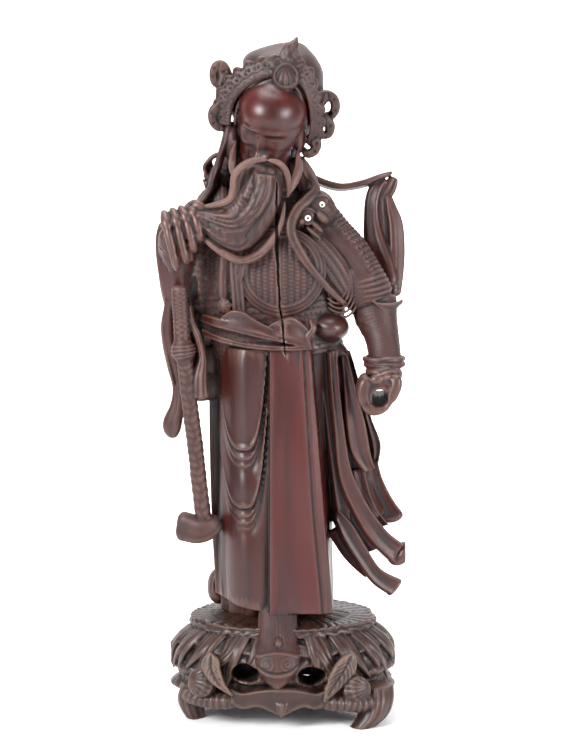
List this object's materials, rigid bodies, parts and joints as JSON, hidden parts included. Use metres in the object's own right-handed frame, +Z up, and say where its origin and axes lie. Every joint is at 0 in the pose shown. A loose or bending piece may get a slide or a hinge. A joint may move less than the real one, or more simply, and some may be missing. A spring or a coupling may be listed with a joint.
{
  "type": "carved wooden figurine",
  "caption": "Carved hardwood figurine of a robed, bearded warrior in armour, one hand at his beard, on a carved openwork leaf base with scrolled feet.",
  "frame": {"origin": "middle of the bounding box on the plane that the base's feet stand on", "axes": "+Z up, -Y the figure's front, +X to the right as seen from the front"},
  "size_m": [0.185, 0.1424, 0.4995],
  "materials": {
    "rosewood": "dark red-brown rosewood, waxed, with worn pinkish ridges",
    "base_wood": "greyer brown rosewood, satin",
    "inlay": "ivory-white bone-like inlay with a dark pupil"
  },
  "bodies": {
    "root": {"figure": "rosewood", "base": "base_wood", "mask_eye_1": "inlay", "mask_eye_2": "inlay"}
  },
  "joints": []
}
